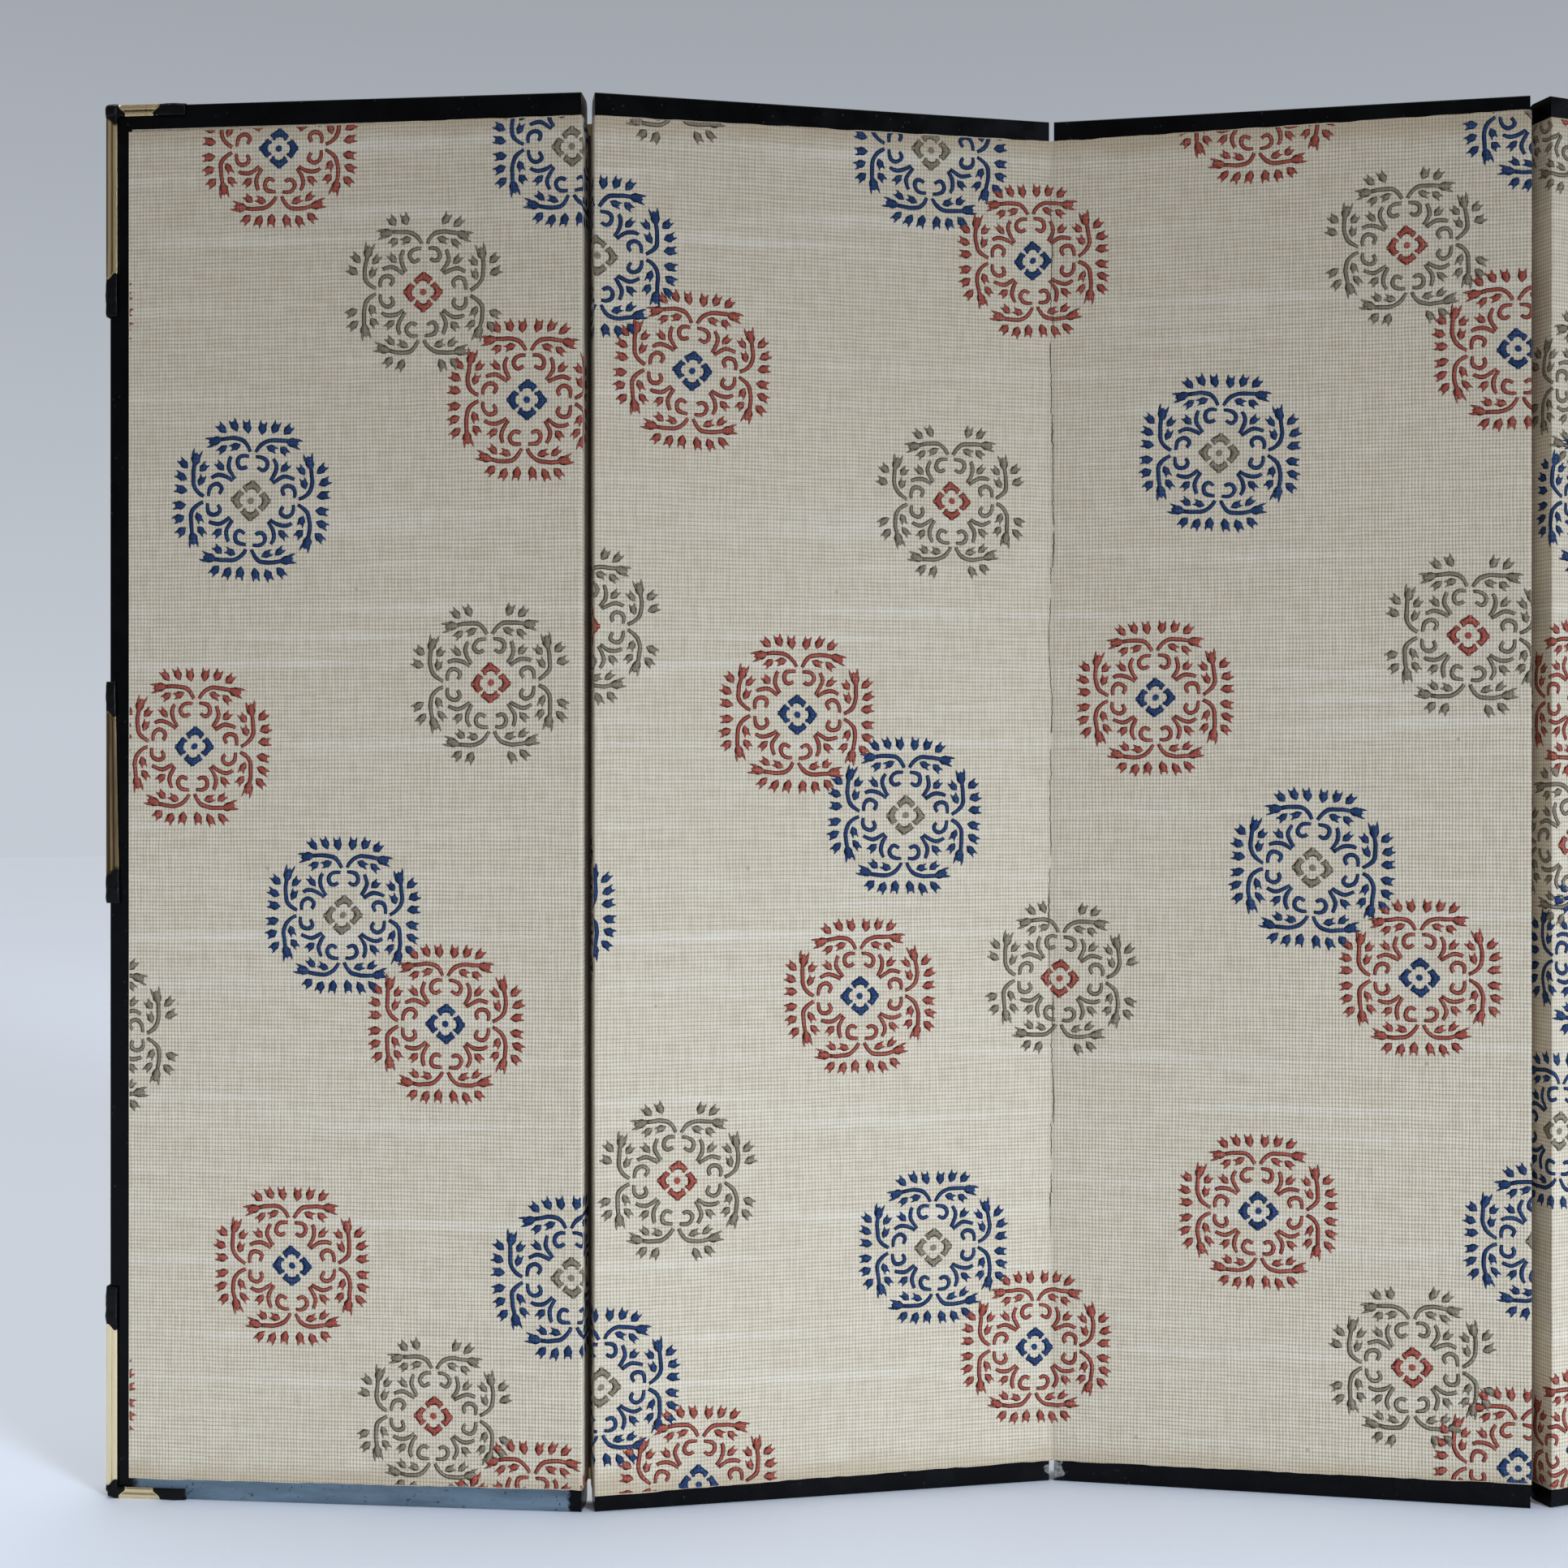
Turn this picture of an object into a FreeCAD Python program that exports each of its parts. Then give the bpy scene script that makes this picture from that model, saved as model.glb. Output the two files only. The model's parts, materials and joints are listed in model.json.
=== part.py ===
"""A small four-panel folding screen that stands in a zigzag on a table.

Each panel is a batten core between two boards, with cloth on the back, paper on the front and
lacquered rails above and below. The two end panels also have a lacquered stile with brass fittings.
Neighbouring panels are joined by flexible hinge strips: at the two ridges they lie on the front,
at the middle crease they lie on the back. Each strip is split at its fold line, one leaf to a panel.

A panel is made in its own frame: u runs from its ridge side, v from its cloth face to its paper face
and z up from the ground. It is then mirrored where needed, turned and moved to its hinge line.
Millimetres and degrees; the finished screen has +Z up and the cloth faces look towards -Y.
"""

import FreeCAD, Part
import math
import os

# Panels
panel_height = 300.0
inner_panel_width = 100.6
outer_panel_width = 103.2
board_thickness = 1.0
batten_thickness = 4.9
batten_width = 8.0
upright_count = 3
cross_row_count = 7

# Coverings and hinges
cloth_thickness = 0.35
paper_thickness = 0.25
covering_lap = 0.6
strip_thickness = 0.25
strip_reach = 12.0
strip_end_margin = 2.0
fold_gap = 0.5
leaf_clearance = 0.1
hinge_standoff = 0.15

# Lacquered frame
rail_height = 5.2
rail_end_inset = 0.2
stile_width = 5.0
cloth_side_round = 0.4
paper_side_round = 1.6

# Brass fittings
fitting_thickness = 0.6
fitting_leg = 2.4
corner_long_reach = 45.5
corner_short_reach = 17.0
corner_round = 1.5
middle_fitting_length = 47.7
middle_fitting_height = 152.0

# Pins
frame_pin_radius = 0.6
frame_pin_length = 9.0
frame_pin_depth = 2.0
frame_pin_count = 3
tack_radius = 0.4
tack_length = 3.6
tack_head_radius = 0.9
tack_head_height = 0.3
tack_spacing = 24.0
corner_tack_drop = 12.0
pin_clearance = 0.02

# How far each panel is turned about the vertical at rest; positive takes its +X end away
panel_turn = {1: -5.0, 2: 10.7, 3: -9.6, 4: 20.0}

# Planes that follow from the layers of a panel
near_face = cloth_thickness
far_face = near_face + 2 * board_thickness + batten_thickness
panel_thickness = far_face + paper_thickness
leaf_overhang = fold_gap / 2 - leaf_clearance
middle_plane = (near_face + far_face) / 2
core_bottom = rail_height
core_top = panel_height - rail_height


def block(u, v, z):
    """A box from three (low, high) pairs."""
    corner = FreeCAD.Vector(u[0], v[0], z[0])
    return Part.makeBox(u[1] - u[0], v[1] - v[0], z[1] - z[0], corner)


def rounded_outline(corners):
    """A closed wire through (point, radius) corners, each turned with a tangent arc where it has a radius."""
    pieces = []
    count = len(corners)
    for index, (point, radius) in enumerate(corners):
        before = (corners[index - 1][0] - point).normalize()
        after = (corners[(index + 1) % count][0] - point).normalize()
        if radius <= 0:
            pieces.append((point, None, point))
            continue
        half_angle = before.getAngle(after) / 2
        reach = radius / math.tan(half_angle)
        start = point + before * reach
        end = point + after * reach
        centre = point + (before + after).normalize() * (radius / math.sin(half_angle))
        middle = centre + (point - centre).normalize() * radius
        pieces.append((start, middle, end))
    edges = []
    for index, (start, middle, end) in enumerate(pieces):
        if middle is not None:
            edges.append(Part.Arc(start, middle, end).toShape())
        edges.append(Part.LineSegment(end, pieces[(index + 1) % count][0]).toShape())
    return Part.Wire(edges)


def stile_bar(outer_u, inner_u, grow, z):
    """An upright bar with eased outer edges; grow thickens it towards both faces."""
    near, far = near_face - grow, far_face + grow
    outline = rounded_outline([
        (FreeCAD.Vector(inner_u, near, z[0]), 0),
        (FreeCAD.Vector(outer_u, near, z[0]), cloth_side_round + grow),
        (FreeCAD.Vector(outer_u, far, z[0]), paper_side_round + grow),
        (FreeCAD.Vector(inner_u, far, z[0]), 0),
    ])
    return Part.Face(outline).extrude(FreeCAD.Vector(0, 0, z[1] - z[0]))


def rail_bar(outer_z, inner_z, grow, u):
    """A level bar with eased outer edges; grow thickens it towards both faces."""
    near, far = near_face - grow, far_face + grow
    outline = rounded_outline([
        (FreeCAD.Vector(u[0], near, inner_z), 0),
        (FreeCAD.Vector(u[0], near, outer_z), cloth_side_round + grow),
        (FreeCAD.Vector(u[0], far, outer_z), paper_side_round + grow),
        (FreeCAD.Vector(u[0], far, inner_z), 0),
    ])
    return Part.Face(outline).extrude(FreeCAD.Vector(u[1] - u[0], 0, 0))


def stile_blank(width):
    """The whole stile, with its two ends eased like the rails and its outer corners rounded."""
    bar = stile_bar(width, width - stile_width, 0, (0, panel_height))
    ends = Part.Face(rounded_outline([
        (FreeCAD.Vector(width - stile_width, near_face, 0), cloth_side_round),
        (FreeCAD.Vector(width - stile_width, near_face, panel_height), cloth_side_round),
        (FreeCAD.Vector(width - stile_width, far_face, panel_height), paper_side_round),
        (FreeCAD.Vector(width - stile_width, far_face, 0), paper_side_round),
    ])).extrude(FreeCAD.Vector(stile_width, 0, 0))
    corners = Part.Face(rounded_outline([
        (FreeCAD.Vector(width - stile_width, near_face, 0), 0),
        (FreeCAD.Vector(width, near_face, 0), corner_round),
        (FreeCAD.Vector(width, near_face, panel_height), corner_round),
        (FreeCAD.Vector(width - stile_width, near_face, panel_height), 0),
    ])).extrude(FreeCAD.Vector(0, far_face - near_face, 0))
    return bar.common(ends).common(corners)


def spread(low, high, count):
    """Evenly spaced values from low to high."""
    return [low + (high - low) * index / (count - 1) for index in range(count)]


def upside_down(shape):
    """The same piece at the other end of the panel."""
    return shape.mirror(FreeCAD.Vector(0, 0, panel_height / 2), FreeCAD.Vector(0, 0, 1))


def cut_all(shape, tools):
    """The shape with every tool taken out of it."""
    for tool in tools:
        shape = shape.cut(tool)
    return shape


def upright_rod(radius, u, v, z):
    return Part.makeCylinder(radius, z[1] - z[0], FreeCAD.Vector(u, v, z[0]))


def level_rod(radius, u, v, z):
    return Part.makeCylinder(radius, u[1] - u[0], FreeCAD.Vector(u[0], v, z), FreeCAD.Vector(1, 0, 0))


def batten_core(core_u):
    """Uprights with cross battens butted between them, each a solid of its own."""
    v = (near_face + board_thickness, far_face - board_thickness)
    upright_starts = spread(core_u[0], core_u[1] - batten_width, upright_count)
    solids = [block((u, u + batten_width), v, (core_bottom, core_top)) for u in upright_starts]
    for left, right in zip(upright_starts, upright_starts[1:]):
        for z in spread(core_bottom, core_top - batten_width, cross_row_count):
            solids.append(block((left + batten_width, right), v, (z, z + batten_width)))
    return solids


def covering(face_u, thickness, face_v, wrap_u, wrap_v):
    """A covering on one face that laps the rails and wraps round one side of the panel."""
    lapped = (core_bottom - covering_lap, core_top + covering_lap)
    face = block(face_u, (face_v, face_v + thickness), lapped)
    if wrap_u is None:
        return face
    return face.fuse(block(wrap_u, wrap_v, (core_bottom, core_top))).removeSplitter()


def hinge_leaf(u, v):
    z = (core_bottom + strip_end_margin, core_top - strip_end_margin)
    return block(u, v, z)


def tack(outer_u, z):
    """A round-headed tack driven in from the outer edge."""
    shank = level_rod(tack_radius, (outer_u - tack_length, outer_u), middle_plane, z)
    head = level_rod(tack_head_radius, (outer_u, outer_u + tack_head_height), middle_plane, z)
    return shank.fuse(head).removeSplitter()


def corner_fitting(width):
    """The top corner's bent brass: over the stile's outer edge and along the rail's top edge."""
    outer_u = width + fitting_thickness
    leg_bottom = panel_height - corner_long_reach
    leg_end = width - corner_short_reach
    long_leg = stile_bar(outer_u, width - fitting_leg, fitting_thickness, (leg_bottom, panel_height))
    short_leg = rail_bar(panel_height, panel_height - fitting_leg, fitting_thickness, (leg_end, outer_u))
    v = (near_face - fitting_thickness, far_face + fitting_thickness)
    corner = rounded_outline([
        (FreeCAD.Vector(leg_end, v[0], leg_bottom), 0),
        (FreeCAD.Vector(outer_u, v[0], leg_bottom), 0),
        (FreeCAD.Vector(outer_u, v[0], panel_height), corner_round),
        (FreeCAD.Vector(leg_end, v[0], panel_height), 0),
    ])
    limit = Part.Face(corner).extrude(FreeCAD.Vector(0, v[1] - v[0], 0))
    seat_top = panel_height - fitting_thickness
    stile_seat = stile_bar(width, leg_end, 0, (0, seat_top))
    rail_seat = rail_bar(seat_top, leg_bottom, 0, (leg_end - 1, width))
    seat = stile_seat.common(rail_seat).fuse(stile_bar(width, width - stile_width, 0, (0, leg_bottom + 1)))
    return long_leg.fuse(short_leg).common(limit).cut(seat).removeSplitter()


def middle_fitting(width):
    z = (middle_fitting_height - middle_fitting_length / 2, middle_fitting_height + middle_fitting_length / 2)
    sleeve = stile_bar(width + fitting_thickness, width - fitting_leg, fitting_thickness, z)
    return sleeve.cut(stile_bar(width, width - stile_width, 0, z))


def panel(kind):
    """Every piece of an inner or an outer panel, in the panel's own frame."""
    outer = kind == "outer"
    width = outer_panel_width if outer else inner_panel_width
    far_side_u = width - stile_width if outer else width - paper_thickness
    core_u = (cloth_thickness, far_side_u)
    strip_v_far = (far_face - strip_thickness, far_face)
    strip_v_near = (near_face, near_face + strip_thickness)
    ridge_strip_u = (-leaf_overhang, strip_reach)
    crease_strip_u = (width - strip_reach, width + leaf_overhang)
    face_end = width - stile_width + covering_lap if outer else width
    pieces = {}

    pieces["cloth_cover"] = covering(
        (0, face_end if outer else width + leaf_overhang), cloth_thickness, 0,
        (0, cloth_thickness), (0, far_face - strip_thickness))
    pieces["paper_face"] = covering(
        (-leaf_overhang, face_end), paper_thickness, far_face,
        None if outer else (width - paper_thickness, width), (near_face + strip_thickness, panel_thickness))
    pieces["ridge_hinge_leaf"] = hinge_leaf(ridge_strip_u, strip_v_far)
    if not outer:
        pieces["crease_hinge_leaf"] = hinge_leaf(crease_strip_u, strip_v_near)

    core_z = (core_bottom, core_top)
    back_board = block(core_u, (near_face, near_face + board_thickness), core_z)
    front_board = block(core_u, (far_face - board_thickness, far_face), core_z)
    pieces["front_board"] = front_board.cut(pieces["ridge_hinge_leaf"])
    pieces["back_board"] = back_board if outer else back_board.cut(pieces["crease_hinge_leaf"])

    rail_end = width - stile_width if outer else width - rail_end_inset
    top_rail = rail_bar(panel_height, core_top, 0, (rail_end_inset, rail_end))
    pin_z = (panel_height - frame_pin_depth - frame_pin_length, panel_height - frame_pin_depth)
    pin_places = spread(core_u[0] + batten_width / 2, core_u[1] - batten_width / 2, frame_pin_count)
    top_pins = [upright_rod(frame_pin_radius, u, middle_plane, pin_z) for u in pin_places]
    hole_radius = frame_pin_radius + pin_clearance
    holes = [upright_rod(hole_radius, u, middle_plane, pin_z) for u in pin_places]
    holes += [upside_down(hole) for hole in holes]
    pins = top_pins + [upside_down(pin) for pin in top_pins]

    if outer:
        pin_u = (width - frame_pin_depth - frame_pin_length, width - frame_pin_depth)
        side_margin = rail_height + corner_long_reach
        for z in spread(side_margin, panel_height - side_margin, frame_pin_count):
            pins.append(level_rod(frame_pin_radius, pin_u, middle_plane, z))
            holes.append(level_rod(hole_radius, pin_u, middle_plane, z))
        top_corner = corner_fitting(width)
        middle = middle_fitting(width)
        plate_u = width + fitting_thickness
        corner_tacks = [panel_height - corner_tack_drop, panel_height - corner_tack_drop - tack_spacing]
        tack_places = corner_tacks + [panel_height - z for z in corner_tacks]
        tack_places += [middle_fitting_height - tack_spacing / 2, middle_fitting_height + tack_spacing / 2]
        tack_u = (plate_u - tack_length - pin_clearance, plate_u)
        tack_holes = [level_rod(tack_radius + pin_clearance, tack_u, middle_plane, z) for z in tack_places]
        stile_cuts = holes + tack_holes + [top_corner, upside_down(top_corner)]
        pieces["stile"] = cut_all(stile_blank(width), stile_cuts)
        top_rail = top_rail.cut(top_corner)
        pieces["top_corner_fitting"] = cut_all(top_corner, tack_holes)
        pieces["bottom_corner_fitting"] = cut_all(upside_down(top_corner), tack_holes)
        pieces["middle_fitting"] = cut_all(middle, tack_holes)
        pieces["fitting_tacks"] = Part.Compound([tack(plate_u, z) for z in tack_places])

    pieces["top_rail"] = cut_all(top_rail, holes)
    pieces["bottom_rail"] = cut_all(upside_down(top_rail), holes)
    pieces["batten_core"] = Part.Compound([cut_all(solid, holes) for solid in batten_core(core_u)])
    pieces["frame_pins"] = Part.Compound(pins)
    return pieces


def turned(point, degrees):
    """A point of the ground plane turned about the origin."""
    angle = math.radians(degrees)
    x = point.x * math.cos(angle) - point.y * math.sin(angle)
    y = point.x * math.sin(angle) + point.y * math.cos(angle)
    return FreeCAD.Vector(x, y, 0)


def place(shape, ridge_line, degrees, mirrored):
    """A panel's piece moved from its own frame to its ridge hinge line."""
    moved = shape.copy()
    moved.translate(FreeCAD.Vector(fold_gap / 2, -(panel_thickness + hinge_standoff), 0))
    if mirrored:
        moved = moved.mirror(FreeCAD.Vector(0, 0, 0), FreeCAD.Vector(1, 0, 0))
    moved.rotate(FreeCAD.Vector(0, 0, 0), FreeCAD.Vector(0, 0, 1), degrees)
    moved.translate(ridge_line)
    return moved


def hinge_lines():
    """The three vertical hinge lines, starting from the first ridge."""
    across = inner_panel_width + fold_gap
    through = panel_thickness + 2 * hinge_standoff
    first_ridge = FreeCAD.Vector(0, 0, 0)
    crease = first_ridge + turned(FreeCAD.Vector(across, -through, 0), panel_turn[2])
    second_ridge = crease + turned(FreeCAD.Vector(across, through, 0), panel_turn[3])
    return first_ridge, crease, second_ridge


def screen():
    """Every node of the screen at rest, with its origin under the middle of its box."""
    first_ridge, crease, second_ridge = hinge_lines()
    inner, outer = panel("inner"), panel("outer")
    layout = {
        1: (outer, first_ridge, True),
        2: (inner, first_ridge, False),
        3: (inner, second_ridge, True),
        4: (outer, second_ridge, False),
    }
    nodes = {}
    for number, (pieces, line, mirrored) in layout.items():
        for name, shape in pieces.items():
            nodes[f"panel_{number}_{name}"] = place(shape, line, panel_turn[number], mirrored)
    box = Part.Compound(list(nodes.values())).optimalBoundingBox(False)
    shift = FreeCAD.Vector(-(box.XMin + box.XMax) / 2, -(box.YMin + box.YMax) / 2, -box.ZMin)
    for shape in nodes.values():
        shape.translate(shift)
    lines = {"ridge_1_2": first_ridge, "crease_2_3": crease, "ridge_3_4": second_ridge}
    return nodes, {name: line + shift for name, line in lines.items()}


os.makedirs("parts", exist_ok=True)
all_nodes, all_lines = screen()
for node_name, node_shape in all_nodes.items():
    node_shape.exportStep(f"parts/{node_name}.step")
for line_name, line_place in all_lines.items():
    print(f"{line_name} hinge line at x {line_place.x:.6f} y {line_place.y:.6f}")
print(len(all_nodes), "nodes")
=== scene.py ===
import json
import math
import random

import bmesh
import bpy
import numpy as np
from mathutils import Matrix, Vector, noise


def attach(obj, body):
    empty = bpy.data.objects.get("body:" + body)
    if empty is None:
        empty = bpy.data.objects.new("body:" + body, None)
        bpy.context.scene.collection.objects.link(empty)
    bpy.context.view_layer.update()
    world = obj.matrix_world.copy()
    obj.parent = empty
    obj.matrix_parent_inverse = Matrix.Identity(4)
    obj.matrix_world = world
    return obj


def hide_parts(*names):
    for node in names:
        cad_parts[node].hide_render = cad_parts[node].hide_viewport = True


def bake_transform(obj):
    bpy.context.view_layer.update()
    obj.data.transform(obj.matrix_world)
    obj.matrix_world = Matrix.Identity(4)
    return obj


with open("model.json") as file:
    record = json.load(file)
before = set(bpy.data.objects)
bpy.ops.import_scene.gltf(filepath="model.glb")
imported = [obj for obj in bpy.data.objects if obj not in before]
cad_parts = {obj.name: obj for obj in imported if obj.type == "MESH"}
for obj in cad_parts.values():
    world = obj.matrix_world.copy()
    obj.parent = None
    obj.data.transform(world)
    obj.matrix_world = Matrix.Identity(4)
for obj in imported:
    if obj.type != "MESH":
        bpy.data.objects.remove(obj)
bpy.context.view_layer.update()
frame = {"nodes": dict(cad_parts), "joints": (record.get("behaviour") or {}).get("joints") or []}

# Looks for a small four-panel folding screen: printed cloth on the backs, leaf paper on the fronts,
# black lacquered rails and stiles, and reeded brass on the outer corners and edges.
# Pieces are shaped in millimetres and come to metres as they are laid in their places. The camera,
# the lamps and the paints are in metres.

MM = 0.001
NODES = frame["nodes"]
UP = Vector((0, 0, 1))
scene = bpy.context.scene
draws = random.Random(11)


# ---- camera, light and floor

def add_camera():
    """The camera stands level, a little left of the middle, at half the screen's height."""
    camera = bpy.data.objects.new("camera", bpy.data.cameras.new("camera"))
    scene.collection.objects.link(camera)
    camera.location = (-0.0572, -0.4335, 0.1538)
    camera.rotation_euler = (math.radians(90), 0, 0)
    camera.data.lens = 44.72
    camera.data.sensor_width = 36
    camera.data.clip_start = 0.01
    scene.camera = camera


def add_lamp(name, kind, target, energy, tint, place=(0, 0, 0)):
    """A lamp at its place, turned towards its target."""
    lamp = bpy.data.objects.new(name, bpy.data.lights.new(name, kind))
    scene.collection.objects.link(lamp)
    lamp.location = place
    lamp.rotation_euler = (Vector(target) - lamp.location).to_track_quat("-Z", "Y").to_euler()
    lamp.data.energy = energy
    lamp.data.color = tint
    return lamp.data


def add_window():
    """A wide cool window far off at the right, whose narrow beam falls low on the cloth."""
    window = add_lamp("window", "AREA", target=(-0.07, 0.0, -0.04), energy=2.65, tint=(0.68, 0.80, 0.97),
                      place=(2.15, -2.30, 0.62))
    window.shape = "RECTANGLE"
    window.size = 1.2
    window.size_y = 0.25
    window.spread = math.radians(17)


def add_overhead():
    """A very soft light from straight above, which keeps the floor pale and leaves upright faces alone."""
    overhead = add_lamp("overhead", "SUN", target=(0, -0.12, -1), energy=1.9, tint=(0.90, 0.955, 1.0))
    overhead.angle = math.radians(40)


def add_room():
    """A room that gives a dim warm light, and is seen as a pale backdrop that is darker above: a painted
    shadow above the screen.
    """
    room = bpy.data.worlds.new("studio")
    scene.world = room
    room.use_nodes = True
    nodes, links = room.node_tree.nodes, room.node_tree.links
    soft = nodes["Background"]
    soft.inputs["Color"].default_value = (1.0, 0.955, 0.88, 1)
    soft.inputs["Strength"].default_value = 0.215
    seen = nodes.new("ShaderNodeBackground")
    ramp = nodes.new("ShaderNodeValToRGB")
    # The backdrop the camera sees darkens upwards: a painted shadow above the screen.
    low, high = ramp.color_ramp.elements
    low.position = 0.02
    low.color = (0.56, 0.60, 0.66, 1)
    high.position = 0.42
    high.color = (0.33, 0.355, 0.39, 1)
    ways = nodes.new("ShaderNodeTexCoord")
    split = nodes.new("ShaderNodeSeparateXYZ")
    choice = nodes.new("ShaderNodeMixShader")
    rays = nodes.new("ShaderNodeLightPath")
    links.new(ways.outputs["Generated"], split.inputs[0])
    links.new(split.outputs["Z"], ramp.inputs["Fac"])
    links.new(ramp.outputs["Color"], seen.inputs["Color"])
    links.new(rays.outputs["Is Camera Ray"], choice.inputs["Fac"])
    links.new(soft.outputs["Background"], choice.inputs[1])
    links.new(seen.outputs["Background"], choice.inputs[2])
    links.new(choice.outputs["Shader"], nodes["World Output"].inputs["Surface"])


def add_floor():
    """A wide pale round floor."""
    bm = bmesh.new()
    bmesh.ops.create_circle(bm, cap_ends=True, segments=96, radius=4)
    floor = add_mesh("floor", bm, floor_paint())


# ---- paints

class Value:
    """A number or vector that varies over a surface. Arithmetic on it adds Math nodes."""

    def __init__(self, paint, node, output=0):
        self.paint, self.node, self.socket = paint, node, node.outputs[output]

    def other(self, output):
        return Value(self.paint, self.node, output)

    def math(self, operation, *terms):
        return self.paint.add("ShaderNodeMath", {"operation": operation}, self, *terms)

    def __add__(self, term):
        return self.math("ADD", term)

    def __sub__(self, term):
        return self.math("SUBTRACT", term)

    def __rsub__(self, term):
        return self.paint.add("ShaderNodeMath", {"operation": "SUBTRACT"}, term, self)

    def __mul__(self, term):
        return self.math("MULTIPLY", term)

    def __truediv__(self, term):
        return self.math("DIVIDE", term)

    def __abs__(self):
        return self.math("ABSOLUTE")

    __radd__ = __add__
    __rmul__ = __mul__


class Paint:
    """One finish: a material, its shader, and the few moves that build its pattern."""

    def __init__(self, name, **constants):
        self.material = bpy.data.materials.new(name)
        self.material.use_nodes = True
        self.tree = self.material.node_tree
        self.shader = self.tree.nodes["Principled BSDF"]
        for socket, value in constants.items():
            self.shader.inputs[socket.replace("_", " ")].default_value = value

    def add(self, kind, settings, *terms, **named):
        """A node of one type: its settings are made first, then the values or links of its sockets."""
        node = self.tree.nodes.new(kind)
        for setting, value in settings.items():
            if setting == "stops":
                ramp = node.color_ramp
                while len(ramp.elements) < len(value):
                    ramp.elements.new(0.5)
                for element, (place, colour) in zip(ramp.elements, value):
                    element.position, element.color = place, (*colour, 1)
            else:
                setattr(node, setting, value)
        wanted = [(index, term) for index, term in enumerate(terms) if term is not None]
        wanted += [(socket.replace("_", " "), term) for socket, term in named.items()]
        for socket, term in wanted:
            if isinstance(term, Value):
                self.tree.links.new(term.socket, node.inputs[socket])
            else:
                node.inputs[socket].default_value = term
        return Value(self, node)

    def mix(self, share, low, high):
        """Low where the share is 0 and high where it is 1. Both are colours, plain or varying."""
        settings = {"data_type": "RGBA", "blend_type": "MIX", "clamp_factor": True}
        low, high = (term if isinstance(term, Value) else (*term, 1) for term in (low, high))
        return self.add("ShaderNodeMix", settings, share, *[None] * 5, low, high).other(2)

    def place(self):
        return self.add("ShaderNodeTexCoord", {}).other("Object")

    def flat(self):
        return self.add("ShaderNodeUVMap", {"uv_map": "flat"})

    def scaled(self, vector, scale):
        return self.add("ShaderNodeMapping", {}, vector, Scale=scale)

    def split(self, vector):
        node = self.add("ShaderNodeSeparateXYZ", {}, vector)
        return node, node.other(1), node.other(2)

    def joined(self, x, y):
        return self.add("ShaderNodeCombineXYZ", {}, x, y)

    def swayed(self, flat, scale, detail, reach):
        """The flat place, pushed about by up to reach metres."""
        push = self.noise(flat, scale, detail).other("Color")
        push = self.add("ShaderNodeVectorMath", {"operation": "SCALE"}, push, Scale=reach)
        return self.add("ShaderNodeVectorMath", {"operation": "ADD"}, flat, push)

    def noise(self, vector, scale, detail=2, rough=0.5):
        return self.add("ShaderNodeTexNoise", {}, Vector=vector, Scale=scale, Detail=detail, Roughness=rough)

    def cells(self, vector, scale):
        return self.add("ShaderNodeTexVoronoi", {}, Vector=vector, Scale=scale)

    def marked(self, attribute):
        return self.add("ShaderNodeAttribute", {"attribute_name": attribute}).other("Fac")

    def step(self, value, low, high, first=0.0, last=1.0):
        """A smooth step: first below low, last above high."""
        settings = {"interpolation_type": "SMOOTHSTEP"}
        return self.add("ShaderNodeMapRange", settings, value, low, high, first, last)

    def ramp(self, value, *stops):
        return self.add("ShaderNodeValToRGB", {"stops": stops}, value)

    def use(self, socket, value):
        self.tree.links.new(value.socket, self.shader.inputs[socket])

    def finish(self, tone, relief, depth, strength, rough=None):
        """The colour, the relief, whose height of 1 stands depth metres proud, and any roughness."""
        self.use("Base Color", tone)
        self.use("Normal", self.add("ShaderNodeBump", {}, Strength=strength, Distance=depth, Height=relief))
        if rough:
            self.use("Roughness", rough)
        return self.material


def floor_paint():
    """Pale card, hardly mottled."""
    paint = Paint("pale_floor", Roughness=0.6, Specular_IOR_Level=0.2)
    tone = paint.noise(paint.place(), 3, 3)
    paint.use("Base Color", paint.mix(tone, (0.80, 0.84, 0.93), (0.83, 0.87, 0.96)))
    return paint.material


WARP_PITCH = 0.69
WEFT_PITCH = 0.82
THREAD_SWAY = 0.00042
CLOTH_RELIEF = 0.00011


def rounds(way, pitch):
    """A wave that passes 0 once in each pitch, so that its size is a row of round threads."""
    return (way * (math.pi / (pitch * MM))).math("SINE")


def weave(paint):
    """Plain weave along the cloth's own flat directions: the flat place, thread height and pinholes."""
    flat = paint.flat()
    along, up, _ = paint.split(paint.swayed(flat, 140, 2, THREAD_SWAY))
    warp, weft = rounds(along, WARP_PITCH), rounds(up, WEFT_PITCH)
    warp_round, weft_round = abs(warp), abs(weft)
    over = paint.step(warp * weft, -0.25, 0.25)
    threads = paint.add("ShaderNodeMix", {"data_type": "FLOAT"}, over, None, weft_round, warp_round)
    holes = paint.step((1 - warp_round) * (1 - weft_round), 0.30, 0.75)
    slubs = paint.noise(paint.scaled(flat, (130, 900, 1)), 1, 2, 0.6)
    height = warp_round * 0.50 + weft_round * 0.38 + threads * 0.14 + weft_round * slubs * 0.22 - holes * 0.35
    return flat, height, holes


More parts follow.
